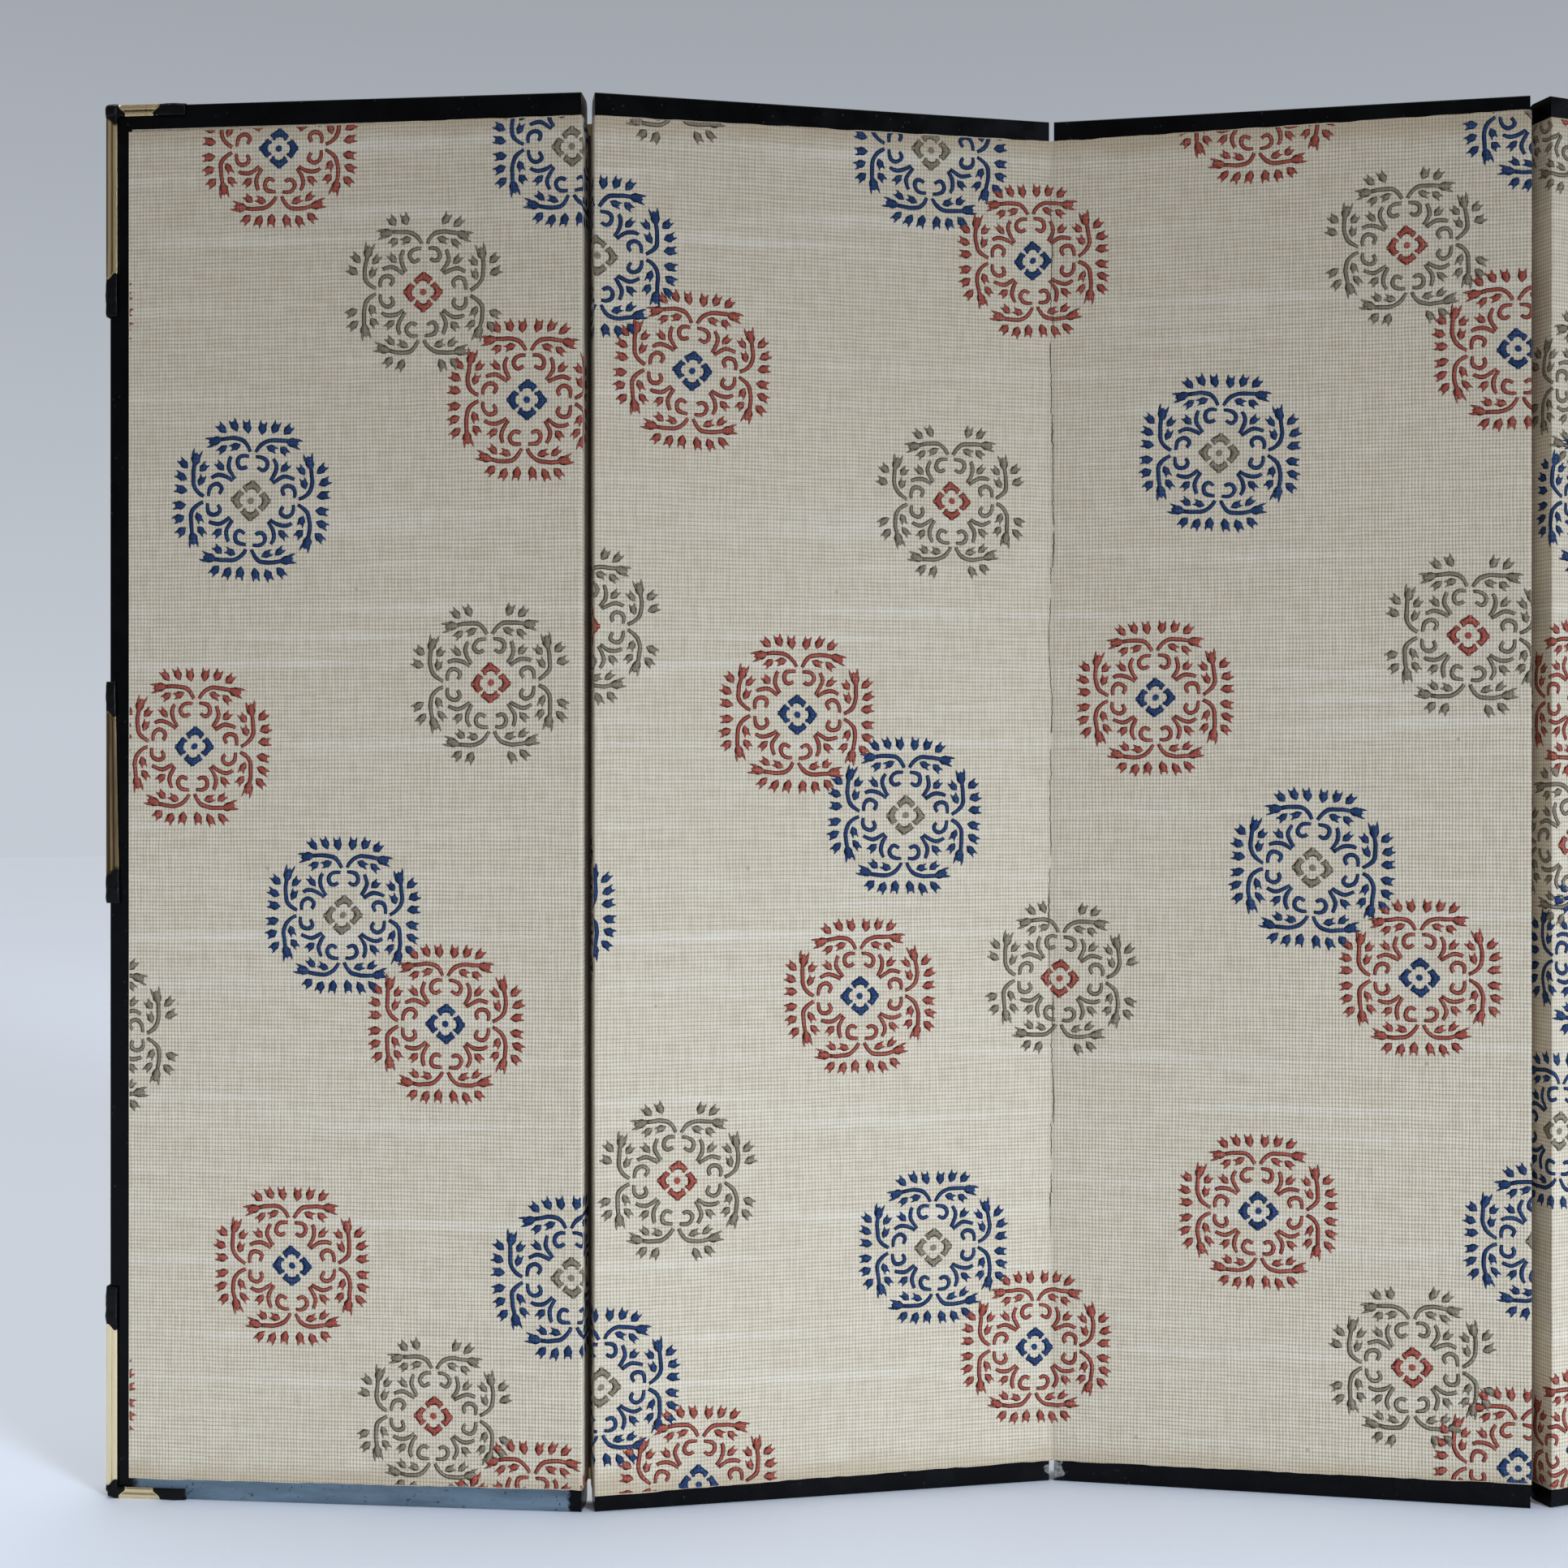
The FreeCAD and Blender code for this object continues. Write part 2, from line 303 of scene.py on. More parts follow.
def crack(paint, flat):
    """Worn hairline where the cloth bends at the middle crease: a jagged line with sideways jumps."""
    along, up, _ = paint.split(flat)
    line = paint.joined(0, up)
    wander = paint.noise(line, 45, 1) - 0.5
    jags = paint.noise(line, 900, 3, 0.7) - 0.5
    jumps = paint.cells(line, 62).other("Color")
    jump = paint.split(jumps)[0] - 0.5
    off = abs(along - (wander * 0.0016 + jags * 0.0009 + jump * 0.0011))
    wide = paint.step(paint.noise(line, 75), 0.5, 0.7)
    width = paint.noise(line, 330, 2, 0.7) * 0.00020 + wide * 0.00012
    inside = paint.step(off / width, 0.55, 1.25, 1, 0)
    stretch = paint.step(up, 0.052, 0.060) * paint.step(up, 0.279, 0.286, 1, 0)
    broken = paint.step(paint.noise(line, 120, 2), 0.36, 0.43)
    return inside * stretch * broken


# The cloth's colour on the thread tops, and in the hollows between them, where the darker colour is painted
# shade.
CLOTH_LIGHT = (0.605, 0.515, 0.385)
CLOTH_DARK = (0.34, 0.276, 0.188)
CRACK_TONE = (0.11, 0.085, 0.058)
CRACK_DEPTH = 3


def cracked(paint, flat, tone, height):
    """The cloth's colour and height with the hairline of wear in them."""
    wear_and_painted_light = crack(paint, flat)
    return paint.mix(wear_and_painted_light, tone, CRACK_TONE), height - wear_and_painted_light * CRACK_DEPTH


def cloth_paint(name, creased):
    """Unbleached slubby cotton with brown-edged laps and faint stains, with painted shade in the hollows of
    the weave and its pinholes, and, when creased, along the crease.
    """
    paint = Paint(name, Roughness=0.86, Specular_IOR_Level=0.25, Sheen_Weight=0.15, Sheen_Roughness=0.5)
    flat, height, holes = weave(paint)
    along, up, _ = paint.split(flat)
    # Thread tops light and hollows dark: painted shade in the weave.
    tone = paint.mix(height, CLOTH_DARK, CLOTH_LIGHT)
    warps = paint.noise(paint.scaled(flat, (1450, 150, 1)), 1, 2, 0.6)
    wefts = paint.noise(paint.scaled(flat, (110, 1220, 1)), 1, 2, 0.6)
    tone = paint.mix(paint.step(warps + wefts, 0.85, 1.25, 0, 0.16), tone, (0.78, 0.70, 0.56))
    tone = paint.mix(paint.step(warps + wefts, 0.75, 1.05, 0.15, 0), tone, (0.30, 0.235, 0.15))
    clouds = paint.noise(flat, 16, 4, 0.6)
    tone = paint.mix(paint.step(clouds, 0.45, 0.75, 0, 0.22), tone, (0.47, 0.40, 0.29))
    streaks = paint.noise(paint.scaled(flat, (9, 260, 1)), 1, 3, 0.6)
    tone = paint.mix(paint.step(streaks, 0.5, 0.8, 0, 0.30), tone, (0.80, 0.76, 0.68))
    ragged = paint.noise(flat, 70, 3) * 0.006
    low_lap = paint.step(up + ragged, 0.0075, 0.0125, 0.5, 0)
    high_lap = paint.step(up - ragged, 0.287, 0.2925, 0, 0.55)
    tone = paint.mix(low_lap + high_lap, tone, (0.36, 0.265, 0.155))
    specks = paint.step(paint.cells(flat, 105), 0.035, 0.06, 0.5, 0)
    rare = paint.step(paint.noise(flat, 60, 1), 0.56, 0.62)
    tone = paint.mix(specks * rare, tone, (0.25, 0.19, 0.12))
    # Pinholes darkened: painted shade in the gaps between threads.
    tone = paint.mix(holes * 0.55, tone, (0.22, 0.18, 0.13))
    if creased:
        # A darker band along the crease: painted shade in the valley of the fold.
        rubbed_and_painted_light = paint.step(abs(along), 0.0005, 0.0016, 0.25, 0)
        tone = paint.mix(rubbed_and_painted_light, tone, (0.42, 0.35, 0.25))
        tone, height = cracked(paint, flat, tone, height)
    return paint.finish(tone, height, CLOTH_RELIEF, 0.8)


# Each ink's colour in the middle of a stroke, at its outline, and where it is rubbed dry.
PRINT_TONES = {
    "red": ((0.29, 0.058, 0.036), (0.085, 0.014, 0.011), (0.46, 0.19, 0.13)),
    "blue": ((0.008, 0.030, 0.095), (0.003, 0.009, 0.034), (0.07, 0.12, 0.22)),
    "grey": ((0.19, 0.155, 0.105), (0.08, 0.062, 0.038), (0.36, 0.32, 0.24)),
}


def print_paint(colour, creased):
    """Printed ink on the weave, drier in the middle of a stroke and pooled at its outline."""
    middle, outline, dry = PRINT_TONES[colour]
    name = f"print_{colour}_creased" if creased else f"print_{colour}"
    paint = Paint(name, Roughness=0.8, Specular_IOR_Level=0.25)
    flat, height, holes = weave(paint)
    ragged = paint.marked("stroke_middle") + (paint.noise(flat, 1500, 2) - 0.5) * 0.4
    tone = paint.mix(paint.step(ragged, 0.22, 0.6), outline, middle)
    rubbed_and_painted_light = paint.step(height, 0.62, 1.1) * paint.step(paint.noise(flat, 240, 3, 0.6), 0.38, 0.66)
    tone = paint.mix(rubbed_and_painted_light * 0.55, tone, dry)
    # Pinholes take the outline's dark colour: painted shade in the gaps between threads.
    tone = paint.mix(holes * 0.6, tone, outline)
    if creased:
        tone, height = cracked(paint, flat, tone, height)
    return paint.finish(tone, height, CLOTH_RELIEF, 0.7)


def with_painted_reflection(paint, place, tone, near, far):
    """A painted reflection of the window light: a dull blue-grey cloud along a rail from near to far, with
    dark pits in it.
    """
    along = paint.split(place)[0] + (paint.noise(place, 300, 3, 0.7) - 0.5) * 0.004
    dull = paint.step(along, near, near + 0.002) * paint.step(along, far - 0.001, far, 1, 0)
    clouds = paint.noise(paint.scaled(place, (40, 40, 260)), 1, 4, 0.6)
    cloudy = paint.ramp(clouds, (0.3, (0.055, 0.078, 0.098)), (0.7, (0.13, 0.175, 0.215)))
    pits = paint.step(paint.noise(place, 900, 3, 0.7), 0.62, 0.70)
    return paint.mix(dull * (1 - pits * 0.85), tone, cloudy)


def torn_round(paint, place, spot, reach):
    """1 round a spot, 0 past a ragged edge about reach metres off."""
    apart = paint.add("ShaderNodeVectorMath", {"operation": "DISTANCE"}, place, tuple(spot)).other("Value")
    ragged = (paint.noise(place, 700, 3, 0.7) - 0.5) * reach * 1.6
    return paint.step(apart + ragged, reach * 0.75, reach, 1, 0)


def lacquer_paint(name, peeled=None, reflection_span=None):
    """Black lacquer with a soft gloss, fine specks, and grey primer where it has peeled at a rail's end."""
    paint = Paint(name, Specular_IOR_Level=0.09)
    place = paint.place()
    haze = paint.noise(place, 90, 4, 0.6)
    tone = paint.ramp(haze, (0.3, (0.0010, 0.0011, 0.0014)), (0.75, (0.0028, 0.0031, 0.0038)))
    dusty = paint.step(paint.noise(place, 150), 0.5, 0.62)
    specks = paint.step(paint.cells(place, 620), 0.10, 0.2, 1, 0) * dusty
    tone = paint.mix(specks * 0.22, tone, (0.06, 0.06, 0.065))
    rough = paint.step(haze, 0.3, 0.7, 0.16, 0.34) + specks * 0.3
    relief = paint.noise(place, 420, 3, 0.6) + paint.noise(place, 2600, 2) * 0.3
    # A painted reflection of the window light on the rail, as a blue-grey cloud.
    if reflection_span:
        tone = with_painted_reflection(paint, place, tone, *reflection_span)
    if peeled:
        torn = torn_round(paint, place, *peeled)
        patches = paint.noise(place, 1500, 2)
        primer = paint.ramp(patches, (0.3, (0.09, 0.09, 0.085)), (0.7, (0.27, 0.26, 0.245)))
        tone = paint.mix(torn, tone, primer)
        rough = rough + torn * 0.4
        relief = relief - torn * 0.8
    return paint.finish(tone, relief, 0.00004, 0.5, rough)


def brass_paint():
    """Stamped brass: dark between the reeds, ochre at the top, brown at half height, and bright at the
    bottom, where the brightness is a painted reflection of the low window light.
    """
    paint = Paint("stamped_brass", Metallic=1.0)
    place = paint.place()
    up = paint.split(place)[2]
    # Rising towards the bottom, from 11 cm down to 5 cm: a painted reflection of the window light on the low
    # fittings.
    rubbed_and_painted_light = paint.step(up, 0.11, 0.05)
    brown = paint.step(up, 0.09, 0.13) * paint.step(up, 0.18, 0.22, 1, 0)
    streaks = paint.noise(paint.scaled(place, (700, 700, 60)), 1, 3, 0.6)
    # The brass tone follows reed polish and streaks, plus the painted reflection at the bottom, less the
    # brown band.
    wear_and_painted_light = paint.marked("reed") * 0.55 + streaks * 0.5 + rubbed_and_painted_light * 0.35 - brown * 0.3
    tarnish_and_painted_reflection = paint.step(wear_and_painted_light, 0.25, 0.85)
    tone = paint.ramp(tarnish_and_painted_reflection, (0.0, (0.075, 0.048, 0.024)), (0.5, (0.33, 0.235, 0.125)),
                      (1.0, (0.90, 0.75, 0.47)))
    rough = paint.step(tarnish_and_painted_reflection, 0, 1, 0.50, 0.27)
    return paint.finish(tone, paint.noise(place, 900, 3, 0.6), 0.00004, 0.4, rough)


def tack_paint():
    """Small brass heads, brighter on the crown."""
    paint = Paint("tack_brass", Metallic=1.0)
    dull = paint.noise(paint.place(), 1400, 3, 0.6)
    tone = paint.ramp(dull, (0.35, (0.22, 0.15, 0.07)), (0.7, (0.72, 0.55, 0.28)))
    return paint.finish(tone, dull, 0.00003, 0.4, paint.step(dull, 0.3, 0.7, 0.48, 0.28))


def daubed_paint():
    """Black paint daubed over the ends of the brass, lumpy, with a few specks of metal through it."""
    paint = Paint("daubed_black", Specular_IOR_Level=0.14)
    place = paint.place()
    lumps = paint.noise(place, 650, 4, 0.65)
    tone = paint.ramp(lumps, (0.35, (0.0012, 0.0012, 0.0015)), (0.7, (0.0045, 0.0045, 0.0045)))
    bare = paint.step(paint.noise(place, 1400, 3, 0.7), 0.70, 0.74)
    tone = paint.mix(bare, tone, (0.30, 0.22, 0.12))
    paint.use("Metallic", bare * 0.8)
    relief = lumps + paint.cells(place, 1100) * 0.5
    return paint.finish(tone, relief, 0.00010, 0.6, paint.step(lumps, 0.3, 0.7, 0.5, 0.3))


LEAF_SIDE = 0.0335
COLUMNS_LEFT = 40


def leaf_paint():
    """Squares of old gold leaf on paper, each a shade apart, with darker laps and scuffed spots."""
    paint = Paint("gold_leaf_paper", Metallic=0.55)
    flat = paint.flat()
    along, up, _ = paint.split(paint.swayed(flat, 55, 3, 0.0011))
    columns, rows = along / LEAF_SIDE + COLUMNS_LEFT, up / LEAF_SIDE
    square = paint.joined(columns.math("FLOOR"), rows.math("FLOOR"))
    shade = paint.add("ShaderNodeTexWhiteNoise", {"noise_dimensions": "2D"}, square)
    aside, above = abs(columns.math("FRACT") - 0.5), abs(rows.math("FRACT") - 0.5)
    lap = paint.step(aside.math("MAXIMUM", above), 0.478, 0.492)
    tone = paint.ramp(shade, (0.0, (0.56, 0.38, 0.14)), (1.0, (0.78, 0.57, 0.25)))
    tone = paint.mix(lap * 0.6, tone, (0.42, 0.28, 0.10))
    wear_and_painted_light = paint.step(paint.noise(flat, 420, 4, 0.7), 0.60, 0.70)
    tone = paint.mix(wear_and_painted_light * 0.5, tone, (0.34, 0.22, 0.10))
    rough = paint.step(wear_and_painted_light + shade * 0.3, 0, 1.3, 0.34, 0.6)
    return paint.finish(tone, paint.noise(flat, 800, 4, 0.6) + lap * 0.6, 0.00004, 0.6, rough)


STRIP_PITCH = 0.45


def strip_paint():
    """Close brown hinge cloth, dark with glue."""
    paint = Paint("hinge_cloth", Roughness=0.85)
    flat = paint.flat()
    along, up, _ = paint.split(flat)
    threads = abs(rounds(along, STRIP_PITCH)) * abs(rounds(up, STRIP_PITCH))
    # Thread crossings take the lighter colour and the gaps the darker one: painted shade between the threads,
    # over the glue's own dark.
    bare = threads * 0.6 + paint.noise(flat, 120, 3) * 0.4
    tone = paint.mix(bare, (0.028, 0.020, 0.013), (0.13, 0.095, 0.06))
    return paint.finish(tone, threads, 0.00008, 0.7)


def grain_paint(name, pale, dark, stretch, rings):
    """Wood or bamboo with its grain drawn out along the stretch scales."""
    paint = Paint(name, Roughness=0.6)
    place = paint.place()
    fibres = paint.noise(paint.scaled(place, stretch), 1, 4, 0.6)
    banded = paint.step(fibres + paint.noise(place, rings, 2) * 0.3, 0.35, 0.85)
    return paint.finish(paint.mix(banded, pale, dark), fibres, 0.00006, 0.5)


def board_paint():
    """Grey-brown paperboard with short fibres."""
    paint = Paint("paperboard", Roughness=0.9)
    place = paint.place()
    fibres = paint.noise(paint.scaled(place, (700, 700, 160)), 1, 4, 0.7)
    tone = paint.mix(paint.step(fibres, 0.35, 0.65), (0.30, 0.25, 0.18), (0.42, 0.36, 0.27))
    return paint.finish(tone, fibres, 0.00005, 0.5)


# ---- panels and how pieces are laid on them

class Panel:
    """One panel's own directions: out from its ridge side, across from its cloth to its paper, and up."""

    def __init__(self, number):
        self.number, self.body = number, f"panel_{number}"
        cloth = NODES[f"panel_{number}_cloth_cover"].data
        back = max((face for face in cloth.polygons if face.normal.y < -0.5), key=lambda face: face.area)
        self.across = Vector((-back.normal.x, -back.normal.y, 0)).normalized()
        self.side = 1 if number % 2 == 0 else -1
        self.out = Vector((self.across.y, -self.across.x, 0)) * self.side
        self.origin = Vector((0, 0, 0))
        (u, _), (v, _), _ = self.span("cloth_cover")
        self.origin = self.out * u + self.across * v

    def span(self, piece):
        """(low, high) of a CAD node out from the ridge side, across the panel and up."""
        places = [v.co / MM - self.origin for v in NODES[f"panel_{self.number}_{piece}"].data.vertices]
        return [(min(p.dot(way) for p in places), max(p.dot(way) for p in places))
                for way in (self.out, self.across, UP)]

    def at(self, out, across, up=0.0):
        return self.origin + self.out * out + self.across * across + UP * up

    def plan(self, out, across):
        return self.at(out, across).xy


class Path:
    """A line through corners, each rounded off. Its length s is 0 at the turn whose number is zero."""

    ARC_STEPS = 8

    def __init__(self, corners, radii, zero):
        corners = [Vector(corner) for corner in corners]
        ways = [(b - a).normalized() for a, b in zip(corners, corners[1:])]
        heading = math.atan2(ways[0].y, ways[0].x)
        length, here = 0.0, corners[0]
        s, places, headings, marks, turns = [0.0], [tuple(here)], [heading], [], []
        for corner, before, after, radius in zip(corners[1:-1], ways, ways[1:], radii):
            turn = math.atan2(before.x * after.y - before.y * after.x, before.dot(after))
            start = corner - before * radius * math.tan(abs(turn) / 2)
            left = Vector((-before.y, before.x)) * math.copysign(1, turn)
            length += (start - here).length
            for step in range(self.ARC_STEPS + 1):
                part = abs(turn) * step / self.ARC_STEPS
                here = start + (before * math.sin(part) + left * (1 - math.cos(part))) * radius
                s.append(length + radius * part)
                places.append(tuple(here))
                headings.append(heading + turn * step / self.ARC_STEPS)
                turns.append(length + radius * abs(turn) * step / self.ARC_STEPS)
            marks.append(length + radius * abs(turn) / 2)
            length += radius * abs(turn)
            heading += turn
        length += (corners[-1] - here).length
        s.append(length)
        places.append(tuple(corners[-1]))
        headings.append(heading)
        shift = marks[zero]
        self.s = np.array(s) - shift
        self.places, self.headings = np.array(places), np.array(headings)
        self.turns = [turn - shift for turn in turns]
        self.start, self.end = float(self.s[0]), float(self.s[-1])
        self.length = self.end - self.start

    def lay(self, points):
        """Flat (s, up, proud) points brought onto the line: (first, second, up) in the line's own plane."""
        s = points[:, 0]
        first = np.interp(s, self.s, self.places[:, 0])
        second = np.interp(s, self.s, self.places[:, 1])
        heading = np.interp(s, self.s, self.headings)
        return np.stack([first + np.sin(heading) * points[:, 2], second - np.cos(heading) * points[:, 2],
                         points[:, 1]], axis=1)


def as_mesh(name, bm):
    mesh = bpy.data.meshes.new(name)
    bm.to_mesh(mesh)
    bm.free()
    return mesh


def add_mesh(name, bm, *paints):
    mesh = as_mesh(name, bm)
    for paint in paints:
        mesh.materials.append(paint)
    piece = bpy.data.objects.new(name, mesh)
    scene.collection.objects.link(piece)
    return piece


def whole(bm):
    return bm.verts[:] + bm.edges[:] + bm.faces[:]


def slice_at(bm, places):
    """Extra edge lines across a flat shape, so that it can bend there."""
    for place in places:
        bmesh.ops.bisect_plane(bm, geom=whole(bm), dist=1e-5, plane_co=(place, 0, 0), plane_no=(1, 0, 0))


def write_flat(bm):
    """Keeps each corner's flat place, in metres, as the UV map that the threads follow."""
    flat = bm.loops.layers.uv.new("flat")
    for face in bm.faces:
        for loop in face.loops:
            loop[flat].uv = loop.vert.co.xy * MM


def as_drawn(first, second, up):
    return Vector((first, second, up))


def lay_flat(bm, path, placed=as_drawn):
    """Brings a flat shape onto its path and to metres. A path in a panel's section has its own placing."""
    write_flat(bm)
    points = np.array([v.co for v in bm.verts])
    for vert, (first, second, up) in zip(bm.verts, path.lay(points)):
        vert.co = placed(first, second, up) * MM
    zero = placed(0, 0, 0)
    first, second, up = (placed(*unit) - zero for unit in ((1, 0, 0), (0, 1, 0), (0, 0, 1)))
    if first.cross(second).dot(up) < 0:
        bmesh.ops.reverse_faces(bm, faces=bm.faces)


def ripple(s, up, size):
    """Slow swells of glued cloth or paper, never below zero."""
    wave = math.sin(s / 11.3 + math.sin(up / 23) * 1.4) * math.sin(up / 17.1 + s / 31)
    wave += 0.5 * math.sin(s / 4.7 + up / 9.1)
    return size * (0.5 + wave / 3)


def add_sheet(name, path, thickness, paint, bottom, top, columns, rows, ragged, swell=0.0):
    """A thin covering: a flat grid cut to its edges, laid along its path and given its thickness inwards."""
    bm = bmesh.new()
    bmesh.ops.create_grid(bm, x_segments=columns, y_segments=rows, size=0.5)
    for vert in bm.verts:
        vert.co.x = path.start + (vert.co.x + 0.5) * path.length
    slice_at(bm, path.turns)
    for vert in bm.verts:
        s, share = vert.co.x, vert.co.y + 0.5
        low = bottom(s) + ragged * math.sin(s * 1.9 + math.sin(s * 0.7) * 2)
        high = top(s) + ragged * math.sin(s * 1.6 + 2 + math.sin(s * 0.8) * 2)
        vert.co.y = low + (high - low) * share
        vert.co.z = ripple(s, vert.co.y, swell)
    lay_flat(bm, path)
    piece = add_mesh(name, bm, paint)
    wall = piece.modifiers.new("thickness", "SOLIDIFY")
    wall.thickness = thickness * MM
    wall.offset = -1
    return piece


def piecewise(*knots):
    """A straight-run function of s through (s, value) knots."""
    places, values = zip(*knots)
    return lambda s: float(np.interp(s, places, values))


def crossing_of(first, second, across):
    """Where two neighbouring panels' planes at that depth across meet, in plan."""
    a, b = first.plan(0, across), second.plan(0, across)
    d, e = first.out.xy, second.out.xy
    reach = (b - a).cross(e) / d.cross(e) if abs(d.cross(e)) > 1e-6 else 0
    return a + d * reach


FOLD_REACH = 0.45


def bend_with(piece, left, right, hinge):
    """Bakes the piece's placing into its mesh. The fold's place and the reach either side of it are worked
    out but not used.
    """
    joint = next(joint for joint in frame["joints"] if joint["name"] == hinge)
    fold = Vector(joint["pos_m"]) / MM
    way = (left.out * left.side + right.out * right.side).normalized() * FOLD_REACH
    (fold - way) * MM
    (fold + way) * MM
    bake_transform(piece)


# ---- printed medallions

# Half of one quarter of the wreath, drawn with strokes of (x, y, width) from its centre: an arched stem, a
# scroll and a sprig. It is mirrored, and then turned four times.
HALF_STROKES = [
    [(0.6, 10.7, 0.8), (1.5, 12.7, 1.0), (4.2, 13.7, 1.0), (7.4, 13.2, 0.95)],
    [(0.75, 9.7, 0.75), (2.7, 9.9, 1.0), (3.7, 8.0, 1.0), (2.4, 6.4, 1.0), (1.2, 7.4, 0.8)],
    [(4.0, 4.5, 0.8), (5.3, 6.2, 1.0), (5.5, 8.2, 1.0), (4.8, 9.4, 0.8)],
]
# Buds of (base, tip, width): the one that ends the stem, the inner and outer rows, and the one on the
# diagonal.
STEM_BUD = ((7.0, 13.3), (10.7, 12.4), 1.75)
INNER_BUDS = [((2.9, 12.1), (5.4, 11.1), 1.4), ((6.0, 11.9), (8.0, 10.2), 1.4)]
OUTER_BUDS = [((1.5, 14.6), (2.0, 17.7), 1.65), ((4.0, 14.9), (5.3, 17.6), 1.6),
              ((6.5, 14.6), (8.5, 16.7), 1.55)]
CORNER_BUD = ((6.4, 6.4), (8.3, 8.3), 1.4)


def mirrored(strokes):
    return strokes + [[(-x, y, width) for x, y, width in stroke] for stroke in strokes]


def bud_strokes(base, tip, width, spread=(-1, 1)):
    """A bud: pointed at its base, full in the middle, and split into prongs at its end."""
    base, tip = Vector(base), Vector(tip)
    way = tip - base
    aside = Vector((-way.y, way.x)).normalized() * width * 0.5
    body = [(*base, 0.15), (*(base + way * 0.26), width * 1.1), (*(base + way * 0.55), width * 1.28),
            (*(base + way * 0.80), width * 0.6)]
    prongs = [[(*(base + way * 0.45 + aside * side * 0.35), width * 0.5),
               (*(base + way * 0.75 + aside * side * 0.8), width * 0.46),
               (*(base + way * (0.88 + 0.12 * abs(side)) + aside * side * 0.85), 0.14)] for side in spread]
    return [body] + prongs


# One petal of the middle flower: a thick arch with three lobes, round a bare heart with a dot in it.
FLOWER_STROKES = [
    [(-1.15, 1.75, 0.5), (-1.45, 2.45, 1.1), (-0.9, 3.05, 1.5), (0.0, 3.5, 1.75), (0.9, 3.05, 1.5),
     (1.45, 2.45, 1.1), (1.15, 1.75, 0.5)],
    [(-1.2, 2.5, 0.8), (-1.75, 2.95, 1.15), (-1.95, 3.1, 0.8)],
    [(1.2, 2.5, 0.8), (1.75, 2.95, 1.15), (1.95, 3.1, 0.8)],
    [(0.0, 3.2, 1.0), (0.0, 4.0, 1.45), (0.0, 4.5, 0.9)],
]
FLOWER_DOT = 0.78
STROKE_FLATNESS = 0.11
STROKE_SINK = 0.005
STROKE_STEPS = 3


def swept_strokes(name, strokes):
    """One quarter's strokes as closed round sweeps, as wide along their length as the strokes say."""
    curve = bpy.data.curves.new(name, "CURVE")
    curve.dimensions = "3D"
    curve.twist_mode = "Z_UP"
    curve.bevel_depth = 0.5
    curve.bevel_resolution = 0
    curve.use_fill_caps = True
    curve.resolution_u = STROKE_STEPS
    for stroke in strokes:
        spline = curve.splines.new("NURBS")
        spline.points.add(len(stroke) - 1)
        for point, (x, y, width) in zip(spline.points, stroke):
            point.co = (x, y, 0, 1)
            point.radius = width
        spline.order_u = 3
        spline.use_endpoint_u = True
    drawn = bpy.data.objects.new(name, curve)
    scene.collection.objects.link(drawn)
    bpy.context.view_layer.update()
    quarter = bpy.data.meshes.new_from_object(drawn.evaluated_get(bpy.context.evaluated_depsgraph_get()))
    bpy.data.objects.remove(drawn)
    return quarter


def stroke_mesh(name, strokes, dot=0.0):
    """Flattened brush strokes, a quarter turned four times. Their middles are marked."""
    bm = bmesh.new()
    bm.from_mesh(swept_strokes(name, strokes))
    bmesh.ops.remove_doubles(bm, verts=bm.verts, dist=0.004)
    bmesh.ops.scale(bm, vec=(1, 1, STROKE_FLATNESS), verts=bm.verts)
    bmesh.ops.spin(bm, geom=whole(bm), cent=(0, 0, 0), axis=(0, 0, 1), angle=math.tau * 3 / 4, steps=3,
                   use_duplicate=True)
    if dot:
        flattened = Matrix.Diagonal((1, 1, STROKE_FLATNESS, 1))
        bmesh.ops.create_icosphere(bm, subdivisions=2, radius=dot, matrix=flattened)
    bmesh.ops.recalc_face_normals(bm, faces=bm.faces)
    middle = bm.verts.layers.float.new("stroke_middle")
    for vert in bm.verts:
        vert[middle] = min(1.0, abs(vert.co.z) * 60)
        vert.co.z -= STROKE_SINK
    return as_mesh(name, bm)


def medallion_meshes():
    """The full wreath, the sparer one used in grey, and the flower at the middle."""
    inner = HALF_STROKES + bud_strokes(*STEM_BUD, (-1.3, 0, 1.3))
    for bud in INNER_BUDS:
        inner = inner + bud_strokes(*bud)
    outer = [bud_strokes(*bud) for bud in OUTER_BUDS]
    corner = bud_strokes(*CORNER_BUD)
    full = mirrored(inner + outer[0] + outer[1] + outer[2]) + corner
    spare = mirrored(inner + outer[1] + outer[2]) + corner
    return {"wreath": stroke_mesh("wreath", full), "spare": stroke_mesh("spare_wreath", spare),
            "flower": stroke_mesh("flower", FLOWER_STROKES, FLOWER_DOT)}


# The colour of the flower in each colour's wreath.
MIDDLES = {"red": "blue", "blue": "grey", "grey": "red"}
